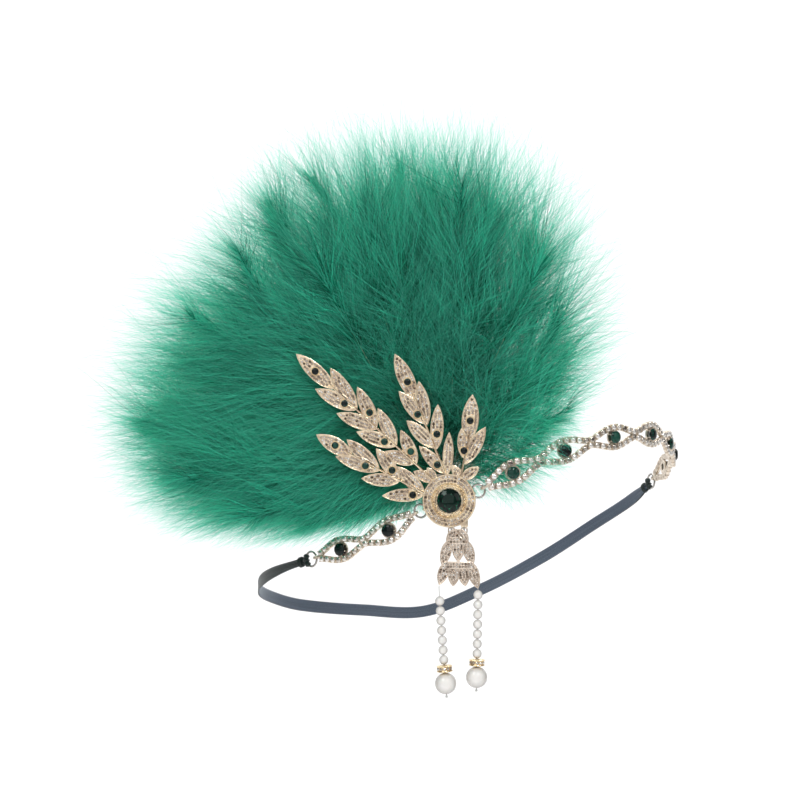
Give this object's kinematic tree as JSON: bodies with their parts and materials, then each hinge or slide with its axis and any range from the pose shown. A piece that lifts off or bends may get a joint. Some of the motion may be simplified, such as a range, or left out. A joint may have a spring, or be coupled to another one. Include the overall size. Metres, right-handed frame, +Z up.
{
  "type": "feather headband",
  "caption": "Headband with a fan of green marabou, a cast leaf brooch with a round green stone, openwork stone chains, a swinging pearl drop and a ribbon back.",
  "frame": {"origin": "the middle of the head that wears it, at the middle of the band's loop", "axes": "+Z up, -Y towards the viewer on the side of the brooch, +X towards the forehead; in its worn form the band is tilted, its forehead side up"},
  "size_m": [0.2557, 0.1754, 0.2482],
  "materials": {
    "cast_gold": "polished champagne plating set with clear pave",
    "silver_wire": "polished wire",
    "green_stone": "faceted, foil backed",
    "dark_stone": "faceted, foil backed",
    "pearl": "lustrous imitation pearl",
    "thread": "twisted thread",
    "ribbon": "elastic satin",
    "feather": "dyed marabou down",
    "clip": "plain plated"
  },
  "bodies": {
    "headband": {"leaf_spray": "cast_gold", "centre_stone": "green_stone", "plume_clip": "clip", "plume": "feather", "brooch_ring_right": "silver_wire", "chain_stone_right_1": "dark_stone", "chain_stone_right_2": "dark_stone", "chain_stone_right_3": "dark_stone", "chain_stone_right_4": "dark_stone", "chain_stone_right_5": "dark_stone", "chain_stone_right_6": "dark_stone", "chain_stone_right_7": "dark_stone", "chain_right": "cast_gold", "ribbon_ring_right": "silver_wire", "brooch_ring_left": "silver_wire", "chain_stone_left_1": "dark_stone", "chain_stone_left_2": "dark_stone", "chain_left": "cast_gold", "ribbon_ring_left": "silver_wire", "ribbon": "ribbon"},
    "drop": {"drop_plate": "cast_gold", "drop_ring_left": "silver_wire", "drop_ring_right": "silver_wire", "pearl_left_1": "pearl", "pearl_left_2": "pearl", "pearl_left_3": "pearl", "pearl_left_4": "pearl", "pearl_left_5": "pearl", "pearl_left_6": "pearl", "pearl_left_7": "pearl", "rondelle_left": "cast_gold", "large_pearl_left": "pearl", "thread_left": "thread", "pearl_right_1": "pearl", "pearl_right_2": "pearl", "pearl_right_3": "pearl", "pearl_right_4": "pearl", "pearl_right_5": "pearl", "pearl_right_6": "pearl", "pearl_right_7": "pearl", "rondelle_right": "cast_gold", "large_pearl_right": "pearl", "thread_right": "thread"}
  },
  "joints": [
    {"name": "drop_swing", "type": "hinge", "parent": "headband", "child": "drop", "pos_m": [-0.00542, -0.0827, 0.0094], "axis": [-1, 0, 0], "range_deg": [-8, 34]}
  ]
}
